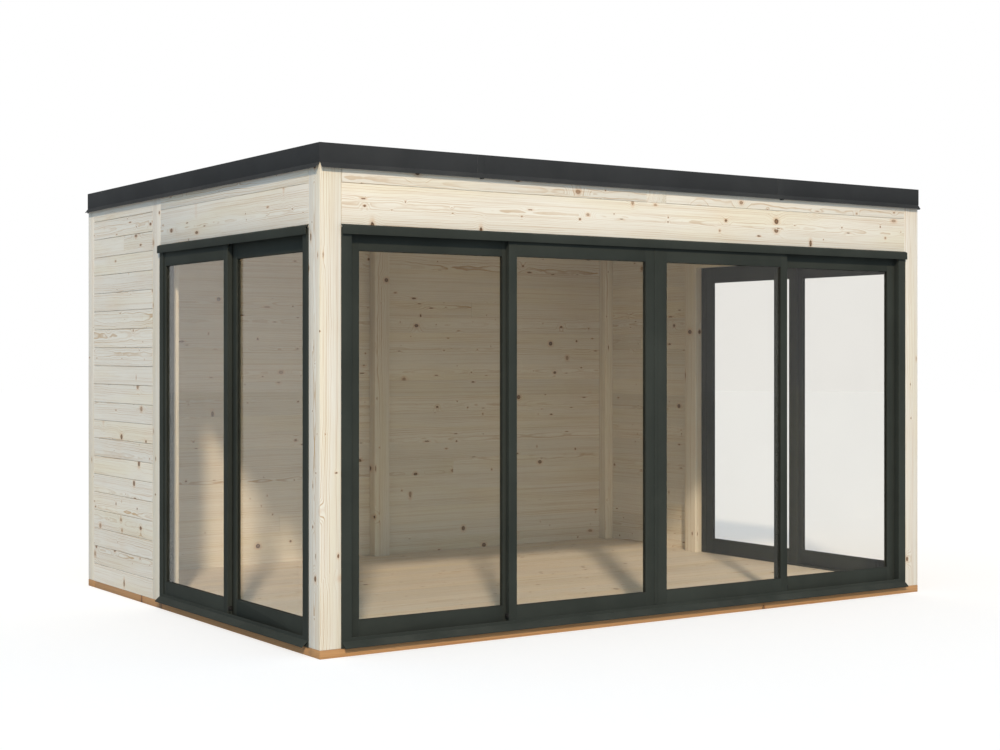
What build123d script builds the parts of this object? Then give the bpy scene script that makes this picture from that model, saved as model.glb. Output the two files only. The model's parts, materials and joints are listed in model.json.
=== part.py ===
"""Timber garden office pod: a post-and-board room with a flat roof and three sliding glass doors.

The frame is in millimetres. +X runs along the front, to the right, +Y from the front to the back
and +Z up. The origin is on the ground, under the middle floor joist, at the centre of the walls.
"""

import os

from build123d import *

# Overall size, over the outer faces of the walls
overall_width = 4200.0
overall_depth = 3166.0

# Base and floor
bearer_height = 42.0
floor_thickness = 20.0
floor_gap = 2.0
floor_joist_width = 95.0
floor_joist_pitch = 480.0

# Posts, walls and the beams over the openings
post_size = 120.0
wall_thickness = 45.0
post_rebate = 20.0
door_opening_height = 2064.0
header_height = 217.0
top_course_height = 114.0
side_opening = 1862.0

# Roof
roof_beam_width = 140.0
roof_joist_width = 45.0
roof_joists_each_side = 3
roof_fall = 30.0
deck_thickness = 22.0
membrane_thickness = 4.0
kerb_thickness = 45.0
kerb_height = 73.0
roof_gap = 1.0

# Roof edge flashing
sheet = 2.0
flashing_proud = 4.0
flashing_height = 123.0
flashing_kick = 20.0
flashing_kick_height = 26.0
flashing_top_width = 70.0

# Door frames: the depth is measured inwards from the outer face of the jambs
frame_proud = 5.0
frame_depth = 70.0
frame_fit = 1.0
frame_lap = 4.0
frame_lip = 3.0
jamb_width = 53.0
jamb_wall = 4.0
head_thickness = 14.0
sill_thickness = 26.0
sill_lip_height = 50.0
sill_nose_reach = 30.0
sill_nose_rise = 33.0
sill_nose_foot = 2.0
sill_nose_edge = 6.0
sill_nose_wall = 3.0
drip_cap_reach = 15.0
drip_cap_height = 42.0
drip_cap_wall = 3.0
drip_cap_rise = 8.0
drip_cap_lap = 15.0
drip_cap_overhang = 6.0

# Door leaves
leaf_thickness = 28.0
leaf_setback = 6.0
track_gap = 5.0
glass_thickness = 6.0
glass_bite = 12.0
bottom_rail = 99.0
top_rail = 96.0
leaf_lift = 8.0
meeting_gap = 5.0
fixed_stile = 62.0
fixed_interlock = 68.0
slider_interlock = 50.0
slider_meeting_stile = 72.5
slider_closing_stile = 67.0
side_interlock_overlap = 26.0

# Tracks and their guides
rib_width = 4.0
rib_height = 16.0
groove_side_gap = 3.0
groove_depth = 18.0
guide_length = 60.0
guide_inset = 90.0
guide_gap = 0.3

# Levels and places that follow from the sizes above
half_width = overall_width / 2
half_depth = overall_depth / 2
bearer_width = post_size
floor_level = bearer_height + floor_thickness
header_level = bearer_height + door_opening_height
course_level = header_level + header_height
roof_level = course_level + top_course_height
kerb_top = roof_level + kerb_height
wall_inner_x = half_width - wall_thickness
wall_inner_y = half_depth - wall_thickness
post_inner_x = half_width - post_size
post_inner_y = half_depth - post_size
side_post_front = side_opening - post_inner_y
side_post_back = side_post_front + post_size

frame_reach = frame_depth - frame_proud
frame_height = door_opening_height - frame_fit
sill_top = sill_thickness
head_bottom = frame_height - head_thickness
slider_bottom = sill_top + leaf_lift
slider_top = head_bottom - leaf_lift
outer_track = leaf_setback + leaf_thickness / 2
inner_track = outer_track + leaf_thickness + track_gap

pieces = []


def block(low, high, mode=Mode.ADD):
    """Adds or cuts the box between two corners, in the plane of the part being built."""
    middle = [(a + b) / 2 for a, b in zip(low, high)]
    size = [b - a for a, b in zip(low, high)]
    with Locations(tuple(middle)):
        Box(*size, mode=mode)


def keep(builder, name):
    """Labels a finished piece and keeps it for export."""
    builder.part.label = name
    pieces.append(builder.part)


# Base: bearers on the ground under the walls, with low joists between them

with BuildPart() as base_bearers_long:
    for side in (-1, 1):
        near, far = sorted((side * half_depth, side * (half_depth - bearer_width)))
        block((-half_width, near, 0), (half_width, far, bearer_height))
keep(base_bearers_long, "base_bearers_long")

bearer_inner_x = half_width - bearer_width
bearer_inner_y = half_depth - bearer_width
with BuildPart() as base_bearers_short:
    for side in (-1, 1):
        near, far = sorted((side * half_width, side * bearer_inner_x))
        block((near, -bearer_inner_y, 0), (far, bearer_inner_y, bearer_height))
keep(base_bearers_short, "base_bearers_short")

joists_each_side = int((bearer_inner_x - floor_joist_width) // floor_joist_pitch)
with BuildPart() as floor_joists:
    for index in range(-joists_each_side, joists_each_side + 1):
        centre = index * floor_joist_pitch
        block(
            (centre - floor_joist_width / 2, -bearer_inner_y, 0),
            (centre + floor_joist_width / 2, bearer_inner_y, bearer_height),
        )
keep(floor_joists, "floor_joists")

# The floor lies on the bearers, reaches the walls and door frames, and is cut round the posts
deck_door_x = half_width - frame_reach - floor_gap
deck_door_y = half_depth - frame_reach - floor_gap
deck_wall_x = wall_inner_x - floor_gap
deck_wall_y = wall_inner_y - floor_gap
deck_post_x = post_inner_x - floor_gap
deck_post_y = post_inner_y - floor_gap
with BuildPart() as floor_deck:
    block((-deck_door_x, -deck_door_y, bearer_height), (deck_door_x, deck_wall_y, floor_level))
    block(
        (-deck_wall_x, side_post_back, bearer_height),
        (deck_wall_x, deck_wall_y, floor_level),
    )
    for start, end in (
        (-half_depth, -deck_post_y),
        (side_post_front - floor_gap, side_post_back + floor_gap),
        (deck_post_y, half_depth),
    ):
        for side in (-1, 1):
            near, far = sorted((side * deck_post_x, side * half_width))
            block((near, start, bearer_height), (far, end, floor_level), mode=Mode.SUBTRACT)
    block(
        (-post_size / 2 - floor_gap, deck_post_y, bearer_height),
        (post_size / 2 + floor_gap, half_depth, floor_level),
        mode=Mode.SUBTRACT,
    )
keep(floor_deck, "floor_deck")

# Posts: the rear ones have rebates that hold the ends of the boards


def corner_post(x_side, y_side, name):
    """A corner post from the bearer up to the roof."""
    x_low, x_high = sorted((x_side * half_width, x_side * post_inner_x))
    y_low, y_high = sorted((y_side * half_depth, y_side * post_inner_y))
    with BuildPart() as post:
        block((x_low, y_low, bearer_height), (x_high, y_high, roof_level))
        if y_side > 0:
            rebate_low, rebate_high = sorted((x_side * half_width, x_side * wall_inner_x))
            block(
                (rebate_low, y_low, bearer_height),
                (rebate_high, y_low + post_rebate, roof_level),
                mode=Mode.SUBTRACT,
            )
            rebate_low, rebate_high = sorted(
                (x_side * post_inner_x, x_side * (post_inner_x + post_rebate))
            )
            block(
                (rebate_low, wall_inner_y, bearer_height),
                (rebate_high, y_high, roof_level),
                mode=Mode.SUBTRACT,
            )
    keep(post, name)


corner_post(-1, -1, "post_front_left")
corner_post(1, -1, "post_front_right")
corner_post(-1, 1, "post_back_left")
corner_post(1, 1, "post_back_right")

for side, name in ((-1, "post_side_left"), (1, "post_side_right")):
    near, far = sorted((side * half_width, side * post_inner_x))
    with BuildPart() as side_post:
        block((near, side_post_front, bearer_height), (far, side_post_back, roof_level))
    keep(side_post, name)

with BuildPart() as post_back_middle:
    block(
        (-post_size / 2, post_inner_y, bearer_height),
        (post_size / 2, wall_inner_y, course_level),
    )
keep(post_back_middle, "post_back_middle")

# Walls of horizontal boards

board_end_y = post_inner_y + post_rebate
board_end_x = post_inner_x + post_rebate
for side, name in ((-1, "wall_left"), (1, "wall_right")):
    near, far = sorted((side * half_width, side * wall_inner_x))
    with BuildPart() as side_wall:
        block((near, side_post_back, bearer_height), (far, board_end_y, roof_level))
    keep(side_wall, name)

with BuildPart() as wall_back:
    block(
        (-board_end_x, wall_inner_y, bearer_height),
        (board_end_x, half_depth, course_level),
    )
keep(wall_back, "wall_back")

# Header beams over the doors, and the boards above them

with BuildPart() as header_front:
    block(
        (-post_inner_x, -half_depth, header_level),
        (post_inner_x, -post_inner_y, course_level),
    )
keep(header_front, "header_front")

for side, name in ((-1, "header_left"), (1, "header_right")):
    near, far = sorted((side * half_width, side * post_inner_x))
    with BuildPart() as side_header:
        block((near, -post_inner_y, header_level), (far, side_post_front, course_level))
    keep(side_header, name)

with BuildPart() as top_boards_long:
    for side in (-1, 1):
        near, far = sorted((side * roof_beam_width / 2, side * post_inner_x))
        block((near, -half_depth, course_level), (far, -wall_inner_y, roof_level))
        near, far = sorted((side * roof_beam_width / 2, side * board_end_x))
        block((near, wall_inner_y, course_level), (far, half_depth, roof_level))
keep(top_boards_long, "top_boards_long")

with BuildPart() as top_boards_short:
    for side in (-1, 1):
        near, far = sorted((side * half_width, side * wall_inner_x))
        block((near, -post_inner_y, course_level), (far, side_post_front, roof_level))
keep(top_boards_short, "top_boards_short")

# Roof: a beam from front to back, joists beside it, and a deck that falls to the back

with BuildPart() as roof_beam:
    block(
        (-roof_beam_width / 2, -half_depth, course_level),
        (roof_beam_width / 2, half_depth, roof_level),
    )
keep(roof_beam, "roof_beam")

joist_bay = (wall_inner_x - roof_beam_width / 2) / (roof_joists_each_side + 1)
joist_offsets = [
    side * (roof_beam_width / 2 + joist_bay * (index + 1))
    for side in (-1, 1)
    for index in range(roof_joists_each_side)
]
with BuildPart() as roof_joists:
    for centre in joist_offsets:
        block(
            (centre - roof_joist_width / 2, -wall_inner_y, course_level),
            (centre + roof_joist_width / 2, wall_inner_y, roof_level),
        )
keep(roof_joists, "roof_joists")

roof_inner_x = half_width - kerb_thickness - roof_gap
roof_inner_y = half_depth - kerb_thickness - roof_gap


def roof_layer(name, low, thickness, half_x):
    """A flat layer across the roof that falls to the back, at a height above the front edge."""
    with BuildPart() as layer:
        with BuildSketch(Plane.YZ.offset(-half_x)):
            with BuildLine():
                Polyline(
                    (-roof_inner_y, roof_level + roof_fall + low),
                    (-roof_inner_y, roof_level + roof_fall + low + thickness),
                    (roof_inner_y, roof_level + low + thickness),
                    (roof_inner_y, roof_level + low),
                    close=True,
                )
            make_face()
        extrude(amount=2 * half_x)
    keep(layer, name)


with BuildPart() as roof_firrings:
    for centre in [0.0] + joist_offsets:
        with BuildSketch(Plane.YZ.offset(centre - roof_joist_width / 2)):
            with BuildLine():
                Polyline(
                    (-roof_inner_y, roof_level),
                    (-roof_inner_y, roof_level + roof_fall),
                    (roof_inner_y, roof_level),
                    close=True,
                )
            make_face()
        extrude(amount=roof_joist_width)
keep(roof_firrings, "roof_firrings")

roof_layer("roof_deck", 0.0, deck_thickness, roof_inner_x)
roof_layer("roof_membrane", deck_thickness, membrane_thickness, roof_inner_x)

with BuildPart() as roof_kerbs_long:
    for side in (-1, 1):
        near, far = sorted((side * half_depth, side * (half_depth - kerb_thickness)))
        block((-half_width, near, roof_level), (half_width, far, kerb_top))
keep(roof_kerbs_long, "roof_kerbs_long")

with BuildPart() as roof_kerbs_short:
    for side in (-1, 1):
        near, far = sorted((side * half_width, side * (half_width - kerb_thickness)))
        inner_y = half_depth - kerb_thickness
        block((near, -inner_y, roof_level), (far, inner_y, kerb_top))
keep(roof_kerbs_short, "roof_kerbs_short")

# Roof edge flashing: a folded sheet with a drip kick along its lower edge

flashing_top = kerb_top + sheet
flashing_foot = flashing_top - flashing_height
fold_level = flashing_foot + flashing_kick_height
sheet_inside = flashing_proud - sheet


def flashing(name, plane, wall_length, length, top_length):
    """One side's flashing. In its plane X runs along the edge and Y points outwards."""
    with BuildPart(plane) as piece:
        block(
            (-length / 2, sheet_inside, fold_level),
            (length / 2, flashing_proud, flashing_top),
        )
        block(
            (-top_length / 2, sheet_inside - flashing_top_width, kerb_top),
            (top_length / 2, sheet_inside, flashing_top),
        )
        kick_end = Plane(
            origin=plane.from_local_coords((-wall_length / 2, 0, 0)),
            x_dir=plane.y_dir,
            z_dir=plane.x_dir,
        )
        with BuildSketch(kick_end) as kick:
            with BuildLine():
                Polyline(
                    (sheet_inside, fold_level),
                    (sheet_inside + flashing_kick, flashing_foot),
                    (flashing_proud + flashing_kick, flashing_foot),
                    (flashing_proud, fold_level),
                    close=True,
                )
            make_face()
        extrude(kick.sketch, amount=wall_length)
    keep(piece, name)


long_edge = overall_width + 2 * flashing_proud
long_top = overall_width + 2 * sheet_inside
short_edge = overall_depth + 2 * sheet_inside
short_top = overall_depth + 2 * (sheet_inside - flashing_top_width)
front_edge = Plane(origin=(0, -half_depth, 0), x_dir=(-1, 0, 0), z_dir=(0, 0, 1))
back_edge = Plane(origin=(0, half_depth, 0), x_dir=(1, 0, 0), z_dir=(0, 0, 1))
left_edge = Plane(origin=(-half_width, 0, 0), x_dir=(0, 1, 0), z_dir=(0, 0, 1))
right_edge = Plane(origin=(half_width, 0, 0), x_dir=(0, -1, 0), z_dir=(0, 0, 1))
flashing("roof_edge_front", front_edge, overall_width, long_edge, long_top)
flashing("roof_edge_back", back_edge, overall_width, long_edge, long_top)
flashing("roof_edge_left", left_edge, overall_depth, short_edge, short_top)
flashing("roof_edge_right", right_edge, overall_depth, short_edge, short_top)

# Doors. In a door's plane X runs along the frame from its left end, Y inwards and Z up from
# the bearer. The sliding leaves run in the outer track and the fixed leaves stand in the inner.


def door_frame(name, plane, width, pocket):
    """The head, sill and jambs; a pocket in the left jamb takes a sliding leaf's stile."""
    with BuildPart(plane) as frame:
        block((0, 0, sill_top), (jamb_width, frame_depth, head_bottom))
        block((width - jamb_width, 0, sill_top), (width, frame_depth, head_bottom))
        block((0, 0, head_bottom), (width, frame_depth, frame_height))
        block((0, 0, 0), (width, frame_depth, sill_top))
        if pocket:
            block(
                (jamb_wall, frame_lip, sill_top),
                (jamb_width, leaf_setback + leaf_thickness + frame_lip, head_bottom),
                mode=Mode.SUBTRACT,
            )
        block((0, 0, sill_top), (width, frame_lip, sill_lip_height))
        for near, far in ((-frame_fit - frame_lap, 0), (width, width + frame_fit + frame_lap)):
            block((near, 0, 0), (far, frame_proud, frame_height))
        for low, high in ((sill_top, sill_top + rib_height), (head_bottom - rib_height, head_bottom)):
            block(
                (jamb_width, outer_track - rib_width / 2, low),
                (width - jamb_width, outer_track + rib_width / 2, high),
            )
        frame_end = Plane(
            origin=plane.from_local_coords((width, 0, 0)),
            x_dir=-plane.y_dir,
            z_dir=-plane.x_dir,
        )
        with BuildSketch(frame_end) as nose:
            with BuildLine():
                Polyline(
                    (0, sill_nose_rise),
                    (sill_nose_reach, sill_nose_foot + sill_nose_edge),
                    (sill_nose_reach, sill_nose_foot),
                    (sill_nose_reach - sill_nose_wall, sill_nose_foot),
                    (sill_nose_reach - sill_nose_wall, sill_nose_foot + sill_nose_wall),
                    (0, sill_nose_rise - sill_nose_edge),
                    close=True,
                )
            make_face()
        extrude(nose.sketch, amount=width)
    keep(frame, name)


def drip_cap(plane, width):
    """The folded cap over a door's head, a little longer than the frame."""
    wall_top = door_opening_height + drip_cap_lap
    front_top = wall_top - drip_cap_rise
    front_foot = front_top - drip_cap_height
    outline = [
        (-frame_proud, wall_top),
        (drip_cap_reach, front_top),
        (drip_cap_reach, front_foot),
        (drip_cap_reach - drip_cap_wall, front_foot),
        (drip_cap_reach - drip_cap_wall, front_top - drip_cap_wall),
        (-frame_proud, wall_top - drip_cap_wall),
    ]
    cap_end = Plane(
        origin=plane.from_local_coords((width + drip_cap_overhang, 0, 0)),
        x_dir=-plane.y_dir,
        z_dir=-plane.x_dir,
    )
    with BuildSketch(cap_end) as cap:
        with BuildLine():
            Polyline(*outline, close=True)
        make_face()
    extrude(cap.sketch, amount=width + 2 * drip_cap_overhang)


def leaf(name, plane, left, right, bottom, top, left_stile, right_stile, track, slides):
    """A leaf's frame with a groove for its glass, and guides that run on the tracks."""
    near = track - leaf_thickness / 2
    far = track + leaf_thickness / 2
    low = sill_top + bottom_rail
    high = head_bottom - top_rail
    with BuildPart(plane) as frame:
        block((left, near, bottom), (right, far, top))
        block(
            (left + left_stile, near, low),
            (right - right_stile, far, high),
            mode=Mode.SUBTRACT,
        )
        block(
            (left + left_stile - glass_bite, track - glass_thickness / 2, low - glass_bite),
            (right - right_stile + glass_bite, track + glass_thickness / 2, high + glass_bite),
            mode=Mode.SUBTRACT,
        )
        if slides:
            half_groove = rib_width / 2 + groove_side_gap
            for start, end in ((bottom, bottom + groove_depth), (top - groove_depth, top)):
                block(
                    (left, track - half_groove, start),
                    (right, track + half_groove, end),
                    mode=Mode.SUBTRACT,
                )
            for start in (left + guide_inset, right - guide_inset - guide_length):
                block(
                    (start, track - half_groove, sill_top + rib_height + guide_gap),
                    (start + guide_length, track + half_groove, bottom + groove_depth),
                )
    keep(frame, name)
    with BuildPart(plane) as pane:
        block(
            (left + left_stile - glass_bite, track - glass_thickness / 2, low - glass_bite),
            (right - right_stile + glass_bite, track + glass_thickness / 2, high + glass_bite),
        )
    keep(pane, name + "_glass")


front_width = 2 * (post_inner_x - frame_fit)
side_width = side_opening - 2 * frame_fit
front_door = Plane(
    origin=(-front_width / 2, -half_depth - frame_proud, bearer_height),
    x_dir=(1, 0, 0),
    z_dir=(0, 0, 1),
)
left_door = Plane(
    origin=(-half_width - frame_proud, side_post_front - frame_fit, bearer_height),
    x_dir=(0, -1, 0),
    z_dir=(0, 0, 1),
)
right_door = Plane(
    origin=(half_width + frame_proud, frame_fit - post_inner_y, bearer_height),
    x_dir=(0, 1, 0),
    z_dir=(0, 0, 1),
)
side_doors = (("left", left_door), ("right", right_door))

door_frame("door_front_frame", front_door, front_width, pocket=False)
for name, plane in side_doors:
    door_frame(f"door_{name}_frame", plane, side_width, pocket=True)

with BuildPart() as door_drip_caps:
    drip_cap(front_door, front_width)
    for name, plane in side_doors:
        drip_cap(plane, side_width)
keep(door_drip_caps, "door_drip_caps")

# Front door: the fixed leaves stand at the ends and the two sliding leaves meet in the middle
front_centre = front_width / 2
slider_edge = front_centre - meeting_gap / 2
fixed_length = (slider_edge + slider_interlock - jamb_width) / 2
slider_start = jamb_width + fixed_length - slider_interlock
for name, mirrored in (("left", False), ("right", True)):
    fixed_span = (jamb_width, jamb_width + fixed_length)
    slider_span = (slider_start, slider_edge)
    fixed_stiles = (fixed_stile, fixed_interlock)
    slider_stiles = (slider_interlock, slider_meeting_stile)
    if mirrored:
        fixed_span = tuple(front_width - x for x in reversed(fixed_span))
        slider_span = tuple(front_width - x for x in reversed(slider_span))
        fixed_stiles = tuple(reversed(fixed_stiles))
        slider_stiles = tuple(reversed(slider_stiles))
    leaf(
        f"door_front_{name}_fixed",
        front_door,
        *fixed_span,
        sill_top,
        head_bottom,
        *fixed_stiles,
        inner_track,
        slides=False,
    )
    leaf(
        f"door_front_{name}_slider",
        front_door,
        *slider_span,
        slider_bottom,
        slider_top,
        *slider_stiles,
        outer_track,
        slides=True,
    )

# Side doors: the sliding leaf closes into the jamb's pocket, and the fixed leaf is at the far end
closing_edge = jamb_wall + meeting_gap
side_leaf_length = (side_width - jamb_width - closing_edge + side_interlock_overlap) / 2
for name, plane in side_doors:
    slider_end = closing_edge + side_leaf_length
    leaf(
        f"door_{name}_slider",
        plane,
        closing_edge,
        slider_end,
        slider_bottom,
        slider_top,
        slider_closing_stile,
        slider_interlock,
        outer_track,
        slides=True,
    )
    leaf(
        f"door_{name}_fixed",
        plane,
        slider_end - side_interlock_overlap,
        side_width - jamb_width,
        sill_top,
        head_bottom,
        fixed_interlock,
        fixed_stile,
        inner_track,
        slides=False,
    )

os.makedirs("parts", exist_ok=True)
for piece in pieces:
    export_step(piece, f"parts/{piece.label}.step")
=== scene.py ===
"""Timber garden office pod: timber, roof, glazed doors and stage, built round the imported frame."""

import json
import math
import random

import bmesh
import bpy
from mathutils import Matrix, Vector

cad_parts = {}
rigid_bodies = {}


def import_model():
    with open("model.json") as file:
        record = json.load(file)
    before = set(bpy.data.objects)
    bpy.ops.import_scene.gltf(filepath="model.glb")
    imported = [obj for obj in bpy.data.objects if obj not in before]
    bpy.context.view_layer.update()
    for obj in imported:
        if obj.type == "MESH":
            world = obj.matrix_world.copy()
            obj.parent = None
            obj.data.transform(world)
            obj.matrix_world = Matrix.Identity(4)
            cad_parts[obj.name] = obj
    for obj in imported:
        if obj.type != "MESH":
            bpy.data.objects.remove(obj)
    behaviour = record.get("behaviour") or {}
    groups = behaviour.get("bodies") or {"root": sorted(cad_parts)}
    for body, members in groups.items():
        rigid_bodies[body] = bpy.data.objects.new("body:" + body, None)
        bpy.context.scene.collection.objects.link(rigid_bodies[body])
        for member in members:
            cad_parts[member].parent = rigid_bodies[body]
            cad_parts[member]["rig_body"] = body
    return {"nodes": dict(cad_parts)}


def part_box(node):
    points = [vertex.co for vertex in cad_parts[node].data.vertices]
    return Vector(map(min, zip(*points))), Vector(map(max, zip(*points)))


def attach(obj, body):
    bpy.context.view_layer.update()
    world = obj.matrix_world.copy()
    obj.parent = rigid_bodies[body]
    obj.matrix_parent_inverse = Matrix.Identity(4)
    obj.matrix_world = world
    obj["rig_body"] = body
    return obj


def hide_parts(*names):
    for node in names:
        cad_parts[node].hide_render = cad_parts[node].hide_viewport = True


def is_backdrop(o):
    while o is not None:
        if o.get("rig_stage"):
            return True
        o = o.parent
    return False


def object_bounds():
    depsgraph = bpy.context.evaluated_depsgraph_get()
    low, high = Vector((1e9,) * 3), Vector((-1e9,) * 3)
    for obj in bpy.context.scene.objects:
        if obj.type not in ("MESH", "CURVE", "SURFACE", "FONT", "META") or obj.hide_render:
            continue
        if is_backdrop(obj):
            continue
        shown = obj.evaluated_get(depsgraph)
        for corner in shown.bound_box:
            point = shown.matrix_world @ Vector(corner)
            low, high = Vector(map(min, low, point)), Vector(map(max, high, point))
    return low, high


bl_info = {
    "name": "Garden office pod",
    "version": (1, 0, 0),
    "blender": (4, 5, 0),
    "location": "3D View > Sidebar > Garden pod",
    "description": "Builds the timber, roof, glazed doors and stage of a garden office pod",
    "category": "Add Mesh",
}

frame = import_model()
cad_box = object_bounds()

# Lengths are in metres, and noise sizes are repeats to the metre
X, Y, Z = range(3)
# Edges over the first angle are hard, and faces within the second are one flat face
SHARP = math.radians(30)
FLAT = math.radians(0.5)
# Corners nearer than the first merge, and heights nearer than the second are level
MERGE = 1e-5
LEVEL = 1e-4
# How far a board's pattern may slide along it, and how its heart line may lie nearer or farther
GRAIN_SLIDE = 20.0
HEART_REACH = (0.75, 1.5)


# Mesh helpers


def body_of(node):
    """The body that a CAD node belongs to."""
    return frame["nodes"][node]["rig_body"]


def merged_copy(node):
    """A copy of a CAD node's mesh, its corners merged and its flat faces whole."""
    bm = bmesh.new()
    bm.from_mesh(frame["nodes"][node].data)
    bmesh.ops.remove_doubles(bm, verts=bm.verts, dist=MERGE)
    bmesh.ops.dissolve_limit(bm, angle_limit=FLAT, verts=bm.verts, edges=bm.edges)
    return bm


def level_point(run, along, across, height=0.0):
    """A point from its place along a level axis, its place across that and its height."""
    return Vector((along, across, height) if run == X else (across, along, height))


def block(bm, run, along, across, heights):
    """Adds a box from its ends along a level axis and across it, and its heights."""
    sides = along, across, heights
    size = level_point(run, *(abs(b - a) for a, b in sides))
    middle = level_point(run, *((a + b) / 2 for a, b in sides))
    bmesh.ops.create_cube(bm, size=1.0, matrix=Matrix.LocRotScale(middle, None, size))


def push_out(bm, faces, move):
    """Extrudes faces by one move."""
    made = bmesh.ops.extrude_face_region(bm, geom=faces)["geom"]
    far = [item for item in made if isinstance(item, bmesh.types.BMVert)]
    bmesh.ops.translate(bm, vec=move, verts=far)


def round_edges(bm, width, segments=2):
    """Rounds the sharp outward edges."""
    edges = [
        e for e in bm.edges if e.is_manifold and e.is_convex and e.calc_face_angle() > SHARP
    ]
    bmesh.ops.bevel(
        bm, geom=edges, offset=width, segments=segments, profile=0.5, affect="EDGES",
        clamp_overlap=True, material=-1,
    )


def islands(bm):
    """The separate solids of a mesh, as lists of corners."""
    left = set(bm.verts)
    while left:
        found, queue = [], [min(left, key=lambda v: v.index)]
        left.discard(queue[0])
        while queue:
            corner = queue.pop()
            found.append(corner)
            for edge in corner.link_edges:
                other = edge.other_vert(corner)
                if other in left:
                    left.discard(other)
                    queue.append(other)
        yield found


def mark_hearts(bm, seed, along, reach, spread):
    """Gives each solid its own heart line and tone, which its grain follows."""
    rng = random.Random(seed)
    heart = bm.verts.layers.float_vector.new("heart")
    tone = bm.verts.layers.float.new("tone")
    bm.verts.index_update()
    for corners in islands(bm):
        low = [min(v.co[i] for v in corners) for i in range(3)]
        high = [max(v.co[i] for v in corners) for i in range(3)]
        middle = [(a + b) / 2 for a, b in zip(low, high)]
        sides = [i for i in range(3) if i != along]
        thin = min(sides, key=lambda i: high[i] - low[i])
        wide = max(sides, key=lambda i: high[i] - low[i])
        if thin == wide:
            thin, wide = sides
        middle[along] += rng.uniform(-GRAIN_SLIDE, GRAIN_SLIDE)
        middle[thin] -= rng.uniform(*HEART_REACH) * reach
        middle[wide] += rng.uniform(-1.0, 1.0) * spread
        shade = rng.random()
        for corner in corners:
            corner[heart] = middle
            corner[tone] = shade


def finished(name, bm, finish, body, replaced=()):
    """Makes a piece of the mesh, with its finish, and puts it on its body."""
    mesh = bpy.data.meshes.new(name)
    bm.to_mesh(mesh)
    bm.free()
    for stale in ("custom_normal", "UVMap"):
        if stale in mesh.attributes:
            mesh.attributes.remove(mesh.attributes[stale])
    mesh.materials.clear()
    mesh.materials.append(finish)
    mesh.shade_smooth()
    mesh.set_sharp_from_angle(angle=SHARP)
    piece = bpy.data.objects.new(name, mesh)
    bpy.context.scene.collection.objects.link(piece)
    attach(piece, body)
    if replaced:
        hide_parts(*replaced)


def stand_in(node, name, bm, finish):
    """Makes the piece that takes a node's place, on the node's own body."""
    finished(name, bm, finish, body_of(node), [node])


def keep_between(bm, axis, low, high):
    """Cuts the mesh down to a slice along one axis and closes the cuts."""
    for level, direction in ((low, -1), (high, 1)):
        point, normal = Vector(), Vector()
        point[axis] = level
        normal[axis] = direction
        cut = bmesh.ops.bisect_plane(
            bm, geom=[*bm.verts, *bm.edges, *bm.faces], plane_co=point, plane_no=normal,
            clear_outer=True,
        )
        border = [e for e in cut["geom_cut"] if isinstance(e, bmesh.types.BMEdge)]
        if border:
            bmesh.ops.holes_fill(bm, edges=border, sides=0)


def slice_of(node, axis, low, high, edge, segments=2):
    """A slice of a CAD node along one axis, with its edges rounded."""
    bm = merged_copy(node)
    keep_between(bm, axis, low, high)
    round_edges(bm, edge, segments)
    return bm


def joined(parts):
    """One mesh from several, which are freed."""
    bm = bmesh.new()
    for part in parts:
        mesh = bpy.data.meshes.new("part")
        part.to_mesh(mesh)
        part.free()
        bm.from_mesh(mesh)
        bpy.data.meshes.remove(mesh)
    return bm


# Node helpers


def feed(item, **inputs):
    """Joins a socket to each named input of a node, or sets its value. So s0 is input 0."""
    for key, value in inputs.items():
        number = key[1:]
        socket = item.inputs[int(number) if number.isdigit() else key.replace("_", " ")]
        if isinstance(value, bpy.types.NodeSocket):
            item.id_data.links.new(value, socket)
        elif socket.type == "RGBA":
            socket.default_value = (*value, 1.0)
        else:
            socket.default_value = value
    return item


def place(kind, settings=None, beside=None, **inputs):
    """Adds a node to the tree of another one, or of its input sockets."""
    near = beside or next(v for v in inputs.values() if isinstance(v, bpy.types.NodeSocket))
    item = near.id_data.nodes.new("ShaderNode" + kind)
    for key, value in (settings or {}).items():
        setattr(item, key, value)
    return feed(item, **inputs)


def calc(operation, a, b=0.0, c=0.0, clamp=False):
    """The result of one sum."""
    settings = {"operation": operation, "use_clamp": clamp}
    return place("Math", settings, s0=a, s1=b, s2=c).outputs[0]


def times(a, b, plus=None):
    """One number times another, and plus a third where there is one."""
    return calc("MULTIPLY", a, b) if plus is None else calc("MULTIPLY_ADD", a, b, plus)


def vector(operation, a, b=(0.0, 0.0, 0.0), result=0):
    """The result of one vector sum."""
    return place("VectorMath", {"operation": operation}, s0=a, s1=b).outputs[result]


def combined(x, y, z=0.0):
    """One vector from three numbers."""
    return place("CombineXYZ", s0=x, s1=y, s2=z).outputs[0]


def separate(value):
    """The three numbers of a vector."""
    return place("SeparateXYZ", s0=value).outputs


def span(value, low, high, start=0.0, end=1.0):
    """A value carried smoothly from one range to another, and held at its ends."""
    settings = {"interpolation_type": "SMOOTHSTEP"}
    return place("MapRange", settings, s0=value, s1=low, s2=high, s3=start, s4=end).outputs[0]


def noise(at, size, detail=2.0, roughness=0.5):
    """Soft noise of one size."""
    return place("TexNoise", Vector=at, Scale=size, Detail=detail, Roughness=roughness).outputs[0]


def drawn_out(at, along, across, detail=2.0, roughness=0.5):
    """Noise of one size along the grain and another across it."""
    return noise(vector("MULTIPLY", at, (along, across, across)), 1.0, detail, roughness)


def blend(amount, a, b, mode="MIX"):
    """One colour blended over another."""
    settings = {"data_type": "RGBA", "blend_type": mode}
    return place("Mix", settings, s0=amount, s6=a, s7=b).outputs[2]


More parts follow.
